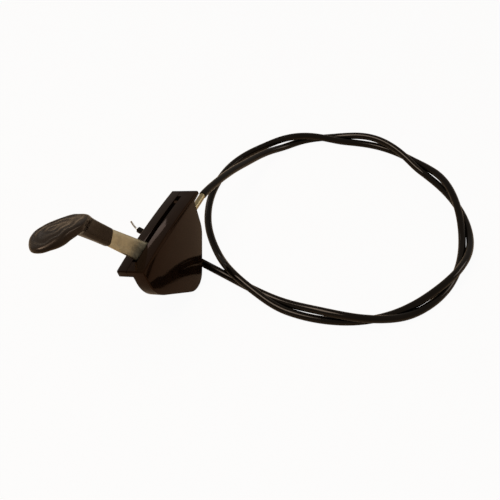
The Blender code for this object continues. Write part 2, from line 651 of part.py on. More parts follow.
def tube(name, points, diameter, parent, resolution=3):
    """A round wire or cord along points, with closed ends."""
    curve = bpy.data.curves.new(name, "CURVE")
    curve.dimensions = "3D"
    curve.bevel_depth = diameter / 2 * MM
    curve.bevel_resolution = resolution
    curve.use_fill_caps = True
    spline = curve.splines.new("POLY")
    spline.points.add(len(points) - 1)
    for point, place in zip(spline.points, points):
        point.co = (*(Vector(place) * MM), 1.0)
    made = bpy.data.objects.new(name, curve)
    bpy.context.scene.collection.objects.link(made)
    made.parent = parent
    return made


def make_wire_inner(carrier):
    """The core wire between lever and ferrule. Its end is bent into a hook through the lever's slot."""
    side = -WIRE_SIDE
    points = [(0.0, HOOK_REACH, 0.0), (0.0, side + WIRE_BEND + 1.0, 0.0)]
    for step in range(7):
        angle = math.pi / 2 * step / 6
        points.append((WIRE_BEND * (1 - math.cos(angle)), side + WIRE_BEND * (1 - math.sin(angle)), 0.0))
    points.append((WIRE_TAIL - WIRE_START, side, 0.0))
    finish(tube("core_wire_inner", points, WIRE_DIAMETER, carrier), "spring_steel")


def make_ferrule(frame):
    """Turned sleeve: thin nose in the housing, ring and groove for the fork, collar that takes the cable."""
    ring_end = FERRULE_RING_AT + FERRULE_RING_THICK
    collar = ring_end + FERRULE_GROOVE
    nose = FERRULE_NOSE / 2
    full = FERRULE_DIAMETER / 2
    bore = BORE_DIAMETER / 2
    ferrule = turned("conduit_ferrule", (
        (FERRULE_START, bore), (FERRULE_START, nose), (FERRULE_RING_AT, nose), (FERRULE_RING_AT, full),
        (ring_end, full), (ring_end, nose), (collar, nose), (collar, full),
        (FERRULE_END - FERRULE_TAPER, full), (FERRULE_END, FERRULE_TIP / 2), (FERRULE_END, bore),
    ), True, frame, (0.0, -WIRE_SIDE, -WIRE_DROP), (1.0, 0.0, 0.0), 40)
    finish(ferrule, "zinc_steel")

    start = ring_end + (FERRULE_GROOVE - FORK_THICK) / 2
    fork = block("conduit_fork", (start, -FORK_FOOT, -WIRE_DROP - FORK_HALF),
                 (start + FORK_THICK, -FORK_TOP, -WIRE_DROP + FORK_HALF), frame)
    notch = nose + CLEARANCE
    radius_cut = turned("cut_fork_round", ((start - 2.0, 0.0), (start - 2.0, notch), (start + 3.0, notch),
                                           (start + 3.0, 0.0)),
                        False, frame, (0.0, -WIRE_SIDE, -WIRE_DROP), (1.0, 0.0, 0.0), 40)
    combine(fork, radius_cut, "DIFFERENCE")
    mouth = block("cut_fork_mouth", (start - 2.0, -WIRE_SIDE, -WIRE_DROP - notch * 0.96),
                  (start + 3.0, 2.0, -WIRE_DROP + notch * 0.96), frame)
    combine(fork, mouth, "DIFFERENCE")
    finish(fork, "zinc_steel")


def smooth_path(points, spacing=1.0):
    """A smooth curve through hand-chosen points (centripetal), read every millimetre or so."""
    points = [np.array(point, dtype=float) for point in points]
    ends = [2 * points[0] - points[1]] + points + [2 * points[-1] - points[-2]]
    dense = []
    for index in range(1, len(ends) - 2):
        four = ends[index - 1:index + 3]
        knots = [0.0]
        for first, second in zip(four, four[1:]):
            knots.append(knots[-1] + math.sqrt(float(np.linalg.norm(second - first))))
        steps = max(2, int(np.linalg.norm(four[2] - four[1]) / spacing))
        for t in np.linspace(knots[1], knots[2], steps, endpoint=False):
            a = [((knots[i + 1] - t) * four[i] + (t - knots[i]) * four[i + 1]) / (knots[i + 1] - knots[i])
                 for i in range(3)]
            b = [((knots[i + 2] - t) * a[i] + (t - knots[i]) * a[i + 1]) / (knots[i + 2] - knots[i])
                 for i in range(2)]
            dense.append(((knots[2] - t) * b[0] + (t - knots[1]) * b[1]) / (knots[2] - knots[1]))
    dense.append(points[-1])
    return np.array(dense)


def softened(path, reach, rounds=3):
    """Averages the route over a few millimetres either way, less and less towards its two ends."""
    lengths = np.concatenate(([0.0], np.cumsum(np.linalg.norm(np.diff(path, axis=0), axis=1))))
    wanted = np.linspace(0.0, lengths[-1], int(lengths[-1]))
    path = np.column_stack([np.interp(wanted, lengths, path[:, axis]) for axis in range(3)])
    order = np.arange(len(path))
    spans = np.minimum(np.minimum(order, order[::-1]), round(reach))
    for _ in range(rounds):
        total = np.vstack((np.zeros(3), np.cumsum(path, axis=0)))
        path = (total[order + spans + 1] - total[order - spans]) / (2 * spans + 1)[:, None]
    return path


def evenly(path, count):
    """Evenly spaced points, with a short straight piece kept at each end."""
    lengths = np.concatenate(([0.0], np.cumsum(np.linalg.norm(np.diff(path, axis=0), axis=1))))
    wanted = np.concatenate(([0.0], np.linspace(3.0, lengths[-1] - 6.0, count - 2), [lengths[-1]]))
    return np.column_stack([np.interp(wanted, lengths, path[:, axis]) for axis in range(3)])


def woven(first_crossing, phase_start):
    """One strand of the pair, from the first crossing named to the last, round its middle line."""
    middle = smooth_path([(*point, 0.0) for point in PAIR])
    marks = [int(np.argmin(np.linalg.norm(middle[:, :2] - np.array(spot), axis=1))) for spot in CROSSINGS]
    centre = middle[:, :2].mean(axis=0)
    strand = []
    for number in range(first_crossing, len(marks) - 1):
        low, high = marks[number], marks[number + 1]
        for share in np.linspace(0.0, 1.0, 8, endpoint=False):
            place = middle[int(round(low + (high - low) * share))]
            phase = math.radians(phase_start + 180.0 * (number - first_crossing + share))
            outward = place[:2] - centre
            outward = outward / np.linalg.norm(outward)
            flat = place[:2] + outward * STRAND_PITCH / 2 * math.cos(phase)
            lift = STRAND_PITCH * (math.sin(phase) + math.sqrt(math.sin(phase) ** 2 + 0.01)) / 2
            strand.append((flat[0], flat[1], JACKET_DIAMETER / 2 + lift))
    place = middle[marks[-1]]
    phase = math.radians(phase_start + 180.0 * (len(marks) - 1 - first_crossing))
    lift = STRAND_PITCH * max(0.0, math.sin(phase))
    strand.append((place[0], place[1], JACKET_DIAMETER / 2 + lift))
    return strand


def cable_route(start, start_heading):
    """Ferrule, first turn, the arc between, second turn and the straight end."""
    heading = np.array((*SLEEVE_HEADING, 0.0))
    tip = np.array((*SLEEVE_TIP, JACKET_DIAMETER / 2))
    last = tip - heading * (SLEEVE_LENGTH + CLEARANCE)
    lead = [tuple(start), tuple(np.array(start) + np.array(start_heading) * 3.0)]
    points = lead + list(LEAD_IN) + woven(0, -90.0) + list(MID_ARC) + woven(0, 90.0)
    points += list(LEAD_OUT) + [tuple(last - heading * 9.0), tuple(last)]
    return softened(smooth_path(points), ROUTE_REACH)


def make_cable(root, frame_matrix):
    start = frame_matrix @ Vector((FERRULE_END + CLEARANCE, -WIRE_SIDE, -WIRE_DROP))
    path = cable_route(tuple(start), (1.0, 0.0, 0.0))
    finish(tube("cable_jacket", [tuple(p) for p in evenly(path, ROUTE_POINT_COUNT)], JACKET_DIAMETER, root),
           "cable_jacket")
    length = float(np.linalg.norm(np.diff(path, axis=0), axis=1).sum())

    tip = Vector((*SLEEVE_TIP, JACKET_DIAMETER / 2))
    heading = Vector((*SLEEVE_HEADING, 0.0)).normalized()
    outer = SLEEVE_DIAMETER / 2
    bore = BORE_DIAMETER / 2
    profile = ((-SLEEVE_LENGTH, bore), (-SLEEVE_LENGTH, outer), (0.0, outer), (0.0, bore))
    sleeve = turned("cable_end_sleeve", profile, True, root, tip, heading, 32)
    finish(sleeve, "cable_jacket")

    carrier = empty("wire_end_slide", root, tip, (0.0, 0.0, 0.0))
    points = [heading * -WIRE_INSIDE, heading * WIRE_STRAIGHT]
    sideways = Vector((0.0, 0.0, 1.0))
    for step in range(1, 9):
        share = step / 8
        points.append(heading * (WIRE_STRAIGHT + 5.3 * share) + sideways * 5.0 * share ** 1.8)
    finish(tube("core_wire_end", points, WIRE_DIAMETER, carrier), "spring_steel")
    return length


def lowest_and_middle(names):
    graph = bpy.context.evaluated_depsgraph_get()
    low = np.full(3, np.inf)
    high = -low
    for name in names:
        seen = bpy.data.objects[name].evaluated_get(graph)
        mesh = seen.to_mesh()
        places = np.array([seen.matrix_world @ vert.co for vert in mesh.vertices])
        low = np.minimum(low, places.min(axis=0))
        high = np.maximum(high, places.max(axis=0))
        seen.to_mesh_clear()
    return low, high


def build():
    start_empty()
    root = empty("throttle_control", None, (0.0, 0.0, 0.0), (0.0, 0.0, 0.0))
    frame = empty("housing_frame", root, (0.0, 0.0, 0.0), (-math.radians(LEAN), 0.0, 0.0))
    make_housing_right(frame)
    make_housing_left(frame)
    make_pivot(frame)
    make_screws(frame)
    make_ferrule(frame)
    axis = empty("lever_axis", frame, (PIVOT_X, 0.0, -PIVOT_Z), (0.0, -math.radians(LEVER_REST), 0.0))
    make_lever(axis)
    carrier = empty("wire_slide", frame, (WIRE_START, 0.0, -WIRE_DROP), (0.0, 0.0, 0.0))
    make_wire_inner(carrier)

    control = [item.name for item in bpy.data.objects if item.type == "MESH" and not item.hide_render]
    bpy.context.view_layer.update()
    low, high = lowest_and_middle(control)
    frame.location.z = -low[2]
    bpy.context.view_layer.update()
    length = make_cable(root, Matrix.Scale(1 / MM, 4) @ frame.matrix_world @ Matrix.Scale(MM, 4))
    middle = (low + high) / 2
    root.location = (-middle[0], -middle[1], 0.0)
    bpy.context.view_layer.update()
    print("cable length, mm:", round(length, 1), "centre, mm:", [round(v / MM, 3) for v in middle[:2]])
    print("lift, mm:", round(-low[2] / MM, 3), "box, mm:", [round(v / MM, 2) for v in (high - low)])


build()
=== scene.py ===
"""Looks of the throttle cable: glossy housing, plated lever, ribbed paddle knob and looped cable."""

import math

import bmesh
import bpy
import numpy as np
from mathutils import Matrix, Vector


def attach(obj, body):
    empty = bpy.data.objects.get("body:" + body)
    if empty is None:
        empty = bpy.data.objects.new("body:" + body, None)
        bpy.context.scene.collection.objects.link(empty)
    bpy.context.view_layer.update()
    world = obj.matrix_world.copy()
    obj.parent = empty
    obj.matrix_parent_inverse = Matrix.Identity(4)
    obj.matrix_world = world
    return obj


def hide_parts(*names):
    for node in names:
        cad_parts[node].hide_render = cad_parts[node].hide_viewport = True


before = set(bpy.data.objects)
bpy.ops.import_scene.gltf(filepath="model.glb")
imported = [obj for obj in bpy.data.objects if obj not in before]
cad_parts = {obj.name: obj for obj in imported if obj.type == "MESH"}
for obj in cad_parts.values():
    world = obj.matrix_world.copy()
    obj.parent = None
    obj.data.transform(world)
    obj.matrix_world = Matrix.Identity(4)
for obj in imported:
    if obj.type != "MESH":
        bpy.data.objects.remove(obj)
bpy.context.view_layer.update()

MM = 0.001

# The housing's own frame: x along the slot, y to the hidden side, z out of the fascia
HOUSING_PLACE = (-0.021041, -0.00357, 0.04919)
HOUSING_LEAN = math.radians(19.12)
HOUSING = Matrix.Translation(HOUSING_PLACE) @ Matrix.Rotation(-HOUSING_LEAN, 4, "X")

# The lever's own frame: origin on the pivot, z along the bar
PIVOT_PLACE = (0.0414, 0.0, -0.034)
LEVER_RAKE = math.radians(33.4)
LEVER = HOUSING @ Matrix.Translation(PIVOT_PLACE) @ Matrix.Rotation(-LEVER_RAKE, 4, "Y")

CAMERA_EYE = Vector((-0.318041, -0.20427, 0.4312))
CAMERA_AIM = Vector((0.069459, -0.04967, 0.0))
CAMERA_LENS = 58.91
CAMERA_SENSOR = 36.0

# Copies of CAD nodes: corners closer than this are one, faces flatter than this are one
CORNER_MERGE = 1e-6
FLAT_FACES = math.radians(0.6)

# Angles in degrees from which an edge is shaded hard: plain pieces, wire and jacket, and the knob
HARD_EDGE = 32.0
ROUND_EDGE = 50.0
MOULDED_EDGE = 40.0

# The cable's route in millimetres, before the shift to the part's origin. Two strands wind round one
# middle line (PAIR), change places at each crossing and are lifted where they pass over each other.
ORIGIN_SHIFT = np.array((-21.041, -3.57, 0.0))
JACKET_DIAMETER = 5.5
FERRULE_EXIT = (96.5, -2.4, -14.8)
SLEEVE_TIP = (76.8, 38.2)
SLEEVE_HEADING = (0.2235, 0.9747)
SLEEVE_LENGTH = 32.3
STRAND_SPACING = 5.8
STRAND_RISE = 7.0
LEAD_IN = (
    (102.4, -7.1, 35.3), (110.7, -8.2, 33.5), (121.0, -9.0, 31.0), (136.0, -10.7, 26.9),
    (150.0, -12.7, 22.4), (163.2, -15.2, 17.8), (179.7, -18.2, 12.4), (197.4, -24.2, 7.0),
    (208.2, -30.2, 3.1),
)
PAIR = (
    (217.3, -35.5), (225.9, -47.2), (235.0, -68.0), (239.4, -93.0), (235.6, -116.0),
    (226.5, -136.5), (211.5, -158.4), (190.0, -176.5), (165.0, -189.0), (139.0, -193.7),
    (112.0, -190.9), (87.0, -180.0), (66.5, -162.5), (52.2, -141.2), (46.0, -116.0),
    (46.0, -91.0), (50.4, -67.5), (55.6, -49.5), (58.4, -43.0),
)
CROSSINGS = (
    (217.3, -35.5), (238.0, -103.0), (202.0, -167.0), (111.5, -190.5), (48.2, -127.0), (58.4, -43.0),
)
MID_ARC = (
    (62.9, -38.9, 8.3), (66.5, -35.5, 5.4), (73.2, -29.4, 3.2), (79.8, -23.4, 2.75),
    (86.0, -18.0, 2.75), (93.4, -12.6, 2.75), (101.5, -7.6, 2.75), (109.2, -4.0, 2.75),
    (117.9, -0.9, 2.75), (126.5, 1.8, 2.75), (141.9, 4.1, 2.75), (152.0, 4.4, 2.75),
    (162.1, 4.1, 2.75), (171.3, 2.4, 2.75), (183.2, -1.6, 2.75), (194.2, -7.3, 3.0),
    (203.3, -15.4, 4.2), (211.4, -24.2, 7.4),
)
LEAD_OUT = ((59.8, -35.2, 2.75), (62.0, -26.6, 2.75), (64.1, -17.6, 2.75))

# How the route is read, softened and kept clear of itself
POINT_SPACING = 1.0
STEPS_PER_CROSSING = 8
SOFTENING_REACH = 7
SOFTENING_ROUNDS = 3
ROUTE_POINTS = 620
STRANDS_APART = 5.6
NEIGHBOUR_POINTS = 12
PARTING_ROUNDS = 14
FERRULE_RUN = 3.0
SLEEVE_RUN = 9.0
JACKET_RESOLUTION = 6


def place_camera():
    camera = bpy.data.cameras.new("photo_camera")
    camera.sensor_width = CAMERA_SENSOR
    camera.lens = CAMERA_LENS
    camera.clip_start = 0.01
    rig = bpy.data.objects.new("photo_camera", camera)
    bpy.context.scene.collection.objects.link(rig)
    rig.location = CAMERA_EYE
    rig.rotation_euler = (CAMERA_AIM - CAMERA_EYE).to_track_quat("-Z", "Y").to_euler()
    bpy.context.scene.camera = rig


def link(name, mesh, body):
    """A new piece at the origin that moves with its body."""
    piece = bpy.data.objects.new(name, mesh)
    bpy.context.scene.collection.objects.link(piece)
    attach(piece, body)
    return piece


def soften(bm, angle):
    """Smooth shading with hard edges where faces meet at more than the angle."""
    limit = math.radians(angle)
    for face in bm.faces:
        face.smooth = True
    for edge in bm.edges:
        edge.smooth = len(edge.link_faces) == 2 and edge.calc_face_angle(0.0) < limit


def dressed(node, body, round_size, angle=HARD_EDGE):
    """A copy of a CAD node with its loose triangles merged and its sharp edges rounded."""
    bm = bmesh.new()
    bm.from_mesh(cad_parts[node].data)
    bmesh.ops.remove_doubles(bm, verts=bm.verts, dist=CORNER_MERGE)
    bmesh.ops.dissolve_limit(bm, angle_limit=FLAT_FACES, use_dissolve_boundaries=False,
                             verts=bm.verts, edges=bm.edges)
    soften(bm, angle)
    mesh = bpy.data.meshes.new(node + "_dressed")
    bm.to_mesh(mesh)
    bm.free()
    piece = link(node + "_dressed", mesh, body)
    if round_size:
        bevel = piece.modifiers.new("edge_round", "BEVEL")
        bevel.width = round_size
        bevel.segments = 2
        bevel.limit_method = "ANGLE"
        bevel.angle_limit = math.radians(angle)
        bevel.harden_normals = True
        bevel.miter_outer = "MITER_ARC"
    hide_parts(node)
    return piece


class Finish:
    """A Principled material with its nodes, on Object coordinates. Noise scales are per metre."""

    def __init__(self, name, colour, roughness, metallic=0.0, level=0.5, tint=(1.0, 1.0, 1.0)):
        self.material = bpy.data.materials.new(name)
        self.material.use_nodes = True
        self.tree = self.material.node_tree
        self.shader = self.tree.nodes["Principled BSDF"]
        self.shader.inputs["Base Color"].default_value = (*colour, 1.0)
        self.shader.inputs["Roughness"].default_value = roughness
        self.shader.inputs["Metallic"].default_value = metallic
        self.shader.inputs["Specular IOR Level"].default_value = level
        self.shader.inputs["Specular Tint"].default_value = (*tint, 1.0)
        self.coordinates = self.tree.nodes.new("ShaderNodeTexCoord")
        self.heights = None

    def mapped(self, scale, turn):
        """Object coordinates turned and stretched, for marks that run one way."""
        mapping = self.tree.nodes.new("ShaderNodeMapping")
        mapping.inputs["Scale"].default_value = scale
        mapping.inputs["Rotation"].default_value = turn
        self.tree.links.new(self.coordinates.outputs["Object"], mapping.inputs["Vector"])
        return mapping.outputs["Vector"]

    def cloud(self, scale, detail, rough=0.5, vector=None):
        """Soft noise."""
        cloud = self.tree.nodes.new("ShaderNodeTexNoise")
        cloud.inputs["Scale"].default_value = scale
        cloud.inputs["Detail"].default_value = detail
        cloud.inputs["Roughness"].default_value = rough
        self.tree.links.new(vector or self.coordinates.outputs["Object"], cloud.inputs["Vector"])
        return cloud.outputs["Fac"]

    def spread(self, value, low, high, to_low, to_high):
        """Stretches a noise value from low and high to two new ends."""
        ramp = self.tree.nodes.new("ShaderNodeMapRange")
        ramp.inputs["From Min"].default_value = low
        ramp.inputs["From Max"].default_value = high
        ramp.inputs["To Min"].default_value = to_low
        ramp.inputs["To Max"].default_value = to_high
        self.tree.links.new(value, ramp.inputs["Value"])
        return ramp.outputs["Result"]

    def colours(self, value, stops):
        """Base colour by a noise value: pairs of place and colour."""
        ramp = self.tree.nodes.new("ShaderNodeValToRGB")
        ramp.color_ramp.elements[0].position = stops[0][0]
        ramp.color_ramp.elements[0].color = (*stops[0][1], 1.0)
        ramp.color_ramp.elements[1].position = stops[-1][0]
        ramp.color_ramp.elements[1].color = (*stops[-1][1], 1.0)
        for place, colour in stops[1:-1]:
            ramp.color_ramp.elements.new(place).color = (*colour, 1.0)
        self.tree.links.new(value, ramp.inputs["Fac"])
        self.tree.links.new(ramp.outputs["Color"], self.shader.inputs["Base Color"])

    def roughness(self, value):
        self.tree.links.new(value, self.shader.inputs["Roughness"])

    def bump(self, value, strength, distance):
        """Fine relief, on top of any relief that is there already."""
        bump = self.tree.nodes.new("ShaderNodeBump")
        bump.inputs["Strength"].default_value = strength
        bump.inputs["Distance"].default_value = distance
        self.tree.links.new(value, bump.inputs["Height"])
        if self.heights:
            self.tree.links.new(self.heights, bump.inputs["Normal"])
        self.heights = bump.outputs["Normal"]
        self.tree.links.new(self.heights, self.shader.inputs["Normal"])


def housing_gloss():
    """Polished black moulding with a warm sheen."""
    finish = Finish("housing_gloss", (0.005, 0.003, 0.002), 0.09, level=0.2, tint=(1.0, 0.42, 0.2))
    finish.colours(finish.cloud(70.0, 4.0),
                   ((0.3, (0.0048, 0.0024, 0.0013)), (0.7, (0.009, 0.0044, 0.0022))))
    finish.roughness(finish.spread(finish.cloud(120.0, 5.0, 0.6), 0.3, 0.75, 0.03, 0.1))
    finish.bump(finish.cloud(260.0, 2.0), 0.08, 0.00006)
    return finish.material


def knob_satin():
    """Brown-black moulding, less polished than the housing."""
    finish = Finish("knob_satin", (0.009, 0.0055, 0.0036), 0.3, level=0.35, tint=(1.0, 0.7, 0.5))
    finish.colours(finish.cloud(90.0, 4.0),
                   ((0.3, (0.0058, 0.0034, 0.0022)), (0.72, (0.014, 0.0088, 0.0056))))
    finish.roughness(finish.spread(finish.cloud(200.0, 5.0, 0.6), 0.3, 0.75, 0.22, 0.36))
    finish.bump(finish.cloud(900.0, 2.0), 0.08, 0.00004)
    return finish.material


def cable_gloss():
    """Black drawn jacket."""
    finish = Finish("cable_gloss", (0.002, 0.0015, 0.0011), 0.11, level=0.26, tint=(1.0, 0.8, 0.64))
    finish.colours(finish.cloud(60.0, 4.0),
                   ((0.3, (0.0014, 0.001, 0.0007)), (0.7, (0.0032, 0.0023, 0.0016))))
    finish.roughness(finish.spread(finish.cloud(160.0, 5.0, 0.65), 0.3, 0.75, 0.06, 0.16))
    finish.bump(finish.cloud(420.0, 3.0), 0.03, 0.00006)
    return finish.material


def brushed_metal(name, colour, brushed, turn=(0.0, 0.0, 0.0), roughness=(0.3, 0.48)):
    """Bare or plated metal with brushing marks and lighter and darker patches."""
    finish = Finish(name, colour, 0.4, metallic=1.0)
    streaks = finish.cloud(1.0, 4.0, 0.6, finish.mapped(brushed, turn))
    darker = tuple(0.78 * part for part in colour)
    lighter = tuple(min(1.0, 1.14 * part) for part in colour)
    finish.colours(finish.cloud(180.0, 5.0, 0.6), ((0.28, darker), (0.5, colour), (0.75, lighter)))
    finish.roughness(finish.spread(streaks, 0.3, 0.7, *roughness))
    finish.bump(streaks, 0.16, 0.00003)
    finish.bump(finish.cloud(500.0, 4.0), 0.08, 0.00004)
    return finish.material


def fibre():
    """Pressed brown fibre of the friction washers."""
    finish = Finish("washer_fibre", (0.2, 0.11, 0.05), 0.85)
    finish.colours(finish.cloud(700.0, 5.0, 0.7),
                   ((0.3, (0.12, 0.06, 0.028)), (0.7, (0.26, 0.15, 0.07))))
    finish.bump(finish.cloud(1500.0, 3.0), 0.4, 0.00006)
    return finish.material


HOUSING_GLOSS = housing_gloss()
KNOB_SATIN = knob_satin()
CABLE_GLOSS = cable_gloss()
LEVER_TURN = tuple(-part for part in LEVER.to_euler())

# How fine the marks in the metals are along each axis, per metre
ALONG_LEVER = (700.0, 700.0, 40.0)
LENGTHWISE = (60.0, 900.0, 900.0)
TUMBLED = (300.0, 300.0, 300.0)
PRESSED = (400.0, 400.0, 400.0)

ZINC_LEVER = brushed_metal("zinc_lever", (0.6, 0.54, 0.38), ALONG_LEVER, LEVER_TURN)
ZINC_SMALL = brushed_metal("zinc_small", (0.5, 0.44, 0.33), TUMBLED)
ZINC_FERRULE = brushed_metal("zinc_ferrule", (0.46, 0.37, 0.21), LENGTHWISE, roughness=(0.22, 0.4))
SPRING_STEEL = brushed_metal("spring_steel", (0.66, 0.64, 0.6), LENGTHWISE, roughness=(0.2, 0.36))
DARK_STEEL = brushed_metal("dark_steel", (0.05, 0.045, 0.04), TUMBLED, roughness=(0.4, 0.6))
BRONZE = brushed_metal("sintered_bronze", (0.45, 0.27, 0.11), PRESSED, roughness=(0.35, 0.55))
FIBRE = fibre()


def between(first, second, low, high, t):
    """The place at t on a line that is at first when t is low and at second when it is high."""
    return ((high - t) * first + (t - low) * second) / (high - low)


def smooth_path(points):
    """A smooth curve through given points (centripetal), read every millimetre or so."""
    points = [np.array(point, dtype=float) for point in points]
    ends = [2 * points[0] - points[1]] + points + [2 * points[-1] - points[-2]]
    dense = []
    for index in range(1, len(ends) - 2):
        four = ends[index - 1:index + 3]
        knots = [0.0]
        for first, second in zip(four, four[1:]):
            knots.append(knots[-1] + math.sqrt(float(np.linalg.norm(second - first))))
        steps = max(2, int(np.linalg.norm(four[2] - four[1]) / POINT_SPACING))
        for t in np.linspace(knots[1], knots[2], steps, endpoint=False):
            lines = [between(four[i], four[i + 1], knots[i], knots[i + 1], t) for i in range(3)]
            bends = [between(lines[i], lines[i + 1], knots[i], knots[i + 2], t) for i in range(2)]
            dense.append(between(bends[0], bends[1], knots[1], knots[2], t))
    dense.append(points[-1])
    return np.array(dense)


def evenly(path, count):
    """The same line with its points evenly spaced."""
    lengths = np.concatenate(([0.0], np.cumsum(np.linalg.norm(np.diff(path, axis=0), axis=1))))
    wanted = np.linspace(0.0, lengths[-1], count)
    return np.column_stack([np.interp(wanted, lengths, path[:, axis]) for axis in range(3)])


def softened(path):
    """Averages the route over a few millimetres either way, less and less towards its two ends."""
    length = float(np.linalg.norm(np.diff(path, axis=0), axis=1).sum())
    path = evenly(path, int(length))
    order = np.arange(len(path))
    spans = np.minimum(np.minimum(order, order[::-1]), SOFTENING_REACH)
    for _ in range(SOFTENING_ROUNDS):
        total = np.vstack((np.zeros(3), np.cumsum(path, axis=0)))
        path = (total[order + spans + 1] - total[order - spans]) / (2 * spans + 1)[:, None]
    return path


def kept_apart(path):
    """Moves strands that would cut into each other apart, never below the floor."""
    order = np.arange(len(path))
    elsewhere = np.abs(order[:, None] - order[None, :]) > NEIGHBOUR_POINTS
    for _ in range(PARTING_ROUNDS):
        gaps = path[:, None, :] - path[None, :, :]
        sizes = np.linalg.norm(gaps, axis=2)
        close = elsewhere & (sizes < STRANDS_APART)
        share = np.where(close, (STRANDS_APART - sizes) / np.maximum(sizes, 0.001), 0.0)
        push = (share[:, :, None] * gaps).sum(axis=1)
        path = path + push / np.maximum(close.sum(axis=1), 1)[:, None] / 2
        path[:, 2] = np.maximum(path[:, 2], JACKET_DIAMETER / 2)
    return path


def woven(phase_start):
    """One strand of the pair, from the first crossing to the last, round its middle line."""
    middle = smooth_path([(*point, 0.0) for point in PAIR])
    marks = [int(np.argmin(np.linalg.norm(middle[:, :2] - np.array(spot), axis=1)))
             for spot in CROSSINGS]
    centre = middle[:, :2].mean(axis=0)
    strand = []
    for number in range(len(marks) - 1):
        low, high = marks[number], marks[number + 1]
        for share in np.linspace(0.0, 1.0, STEPS_PER_CROSSING, endpoint=False):
            place = middle[int(round(low + (high - low) * share))]
            phase = math.radians(phase_start + 180.0 * (number + share))
            outward = place[:2] - centre
            outward = outward / np.linalg.norm(outward)
            flat = place[:2] + outward * STRAND_SPACING / 2 * math.cos(phase)
            lift = STRAND_RISE * (math.sin(phase) + math.sqrt(math.sin(phase) ** 2 + 0.01)) / 2
            strand.append((flat[0], flat[1], JACKET_DIAMETER / 2 + lift))
    place = middle[marks[-1]]
    phase = math.radians(phase_start + 180.0 * (len(marks) - 1))
    lift = STRAND_RISE * max(0.0, math.sin(phase))
    strand.append((place[0], place[1], JACKET_DIAMETER / 2 + lift))
    return strand


def cable_route():
    """The whole run in metres: ferrule, first turn, arc between, second turn and straight end."""
    heading = np.array((*SLEEVE_HEADING, 0.0))
    last = np.array((*SLEEVE_TIP, JACKET_DIAMETER / 2)) - heading * SLEEVE_LENGTH
    start = np.array(HOUSING @ (Vector(FERRULE_EXIT) * MM)) / MM - ORIGIN_SHIFT
    points = [tuple(start), tuple(start + np.array((FERRULE_RUN, 0.0, 0.0)))]
    points += list(LEAD_IN) + woven(-90.0) + list(MID_ARC) + woven(90.0) + list(LEAD_OUT)
    points += [tuple(last - heading * SLEEVE_RUN), tuple(last)]
    route = evenly(softened(smooth_path(points)), ROUTE_POINTS)
    return (kept_apart(route) + ORIGIN_SHIFT) * MM


def lay_cable():
    """Sweeps the jacket along its route and keeps the result as a mesh tube."""
    route = cable_route()
    curve = bpy.data.curves.new("cable_route", "CURVE")
    curve.dimensions = "3D"
    curve.bevel_depth = JACKET_DIAMETER / 2 * MM
    curve.bevel_resolution = JACKET_RESOLUTION
    curve.use_fill_caps = True
    spline = curve.splines.new("POLY")
    spline.points.add(len(route) - 1)
    for point, place in zip(spline.points, route):
        point.co = (*place, 1.0)
    swept = bpy.data.objects.new("cable_route", curve)
    bpy.context.scene.collection.objects.link(swept)
    mesh = bpy.data.meshes.new_from_object(swept.evaluated_get(bpy.context.evaluated_depsgraph_get()))
    bpy.data.objects.remove(swept, do_unlink=True)
    bm = bmesh.new()
    bm.from_mesh(mesh)
    bmesh.ops.remove_doubles(bm, verts=bm.verts, dist=CORNER_MERGE)
    soften(bm, ROUND_EDGE)
    bm.to_mesh(mesh)
    bm.free()
    mesh.materials.append(CABLE_GLOSS)
    cable = link("cable_jacket_drawn", mesh, "housing")
    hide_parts("cable_jacket")
    length = float(np.linalg.norm(np.diff(route, axis=0), axis=1).sum())
    return cable, route, length


cable, cable_path, cable_length = lay_cable()
end_sleeve = dressed("cable_end_sleeve", "housing", 0.0003)
end_sleeve.data.materials.append(CABLE_GLOSS)
end_wire = dressed("core_wire_end", "wire_end", 0.0, ROUND_EDGE)
end_wire.data.materials.append(SPRING_STEEL)


# The knob's sections in the lever's frame, in millimetres from the knob's mouth: a point of its outer
# line and a point of its inner line as (x, z), and the half width between its sides
KNOB_SECTIONS = (
    ((5.6, 0.0), (-5.9, 0.0), 3.3),
    ((5.8, 5.8), (-5.9, 8.3), 3.4),
    ((6.0, 12.8), (-6.0, 17.8), 3.7),
    ((6.3, 19.8), (-6.1, 26.3), 4.7),
    ((6.6, 24.3), (-6.2, 29.3), 6.5),
    ((6.4, 27.4), (-6.6, 30.8), 8.1),
    ((5.6, 29.2), (-7.2, 32.0), 8.9),
    ((3.5, 32.1), (-7.5, 33.0), 10.4),
    ((0.5, 36.15), (-7.6, 34.3), 12.1),
    ((-2.5, 40.2), (-7.9, 36.2), 13.0),
    ((-5.4, 44.2), (-11.4, 39.8), 12.9),
    ((-8.4, 48.2), (-14.8, 43.4), 12.5),
    ((-11.2, 51.1), (-17.9, 46.1), 12.1),
    ((-14.5, 53.7), (-20.6, 49.2), 11.1),
    ((-18.0, 56.0), (-22.8, 52.4), 8.8),
    ((-20.6, 57.9), (-24.6, 54.9), 6.2),
    ((-22.4, 59.0), (-25.3, 56.9), 3.8),
    ((-23.6, 59.3), (-25.2, 58.1), 1.9),
)

# Where the knob sits on the lever, how its outline rounds off, and over which shares of its length
KNOB_MOUTH = 77.2
KNOB_MIDDLE = 0.8
KNOB_LEAN = 0.1
NECK_CORNER = 3.4
PADDLE_CORNER = 4.4
TIP_CORNER = 2.5
NECK_TO_PADDLE = (0.3, 0.45)
PADDLE_TO_TIP = (0.62, 0.9)
KNOB_AROUND = 150
KNOB_ROWS = 170
OUTLINE_STEPS = 1441

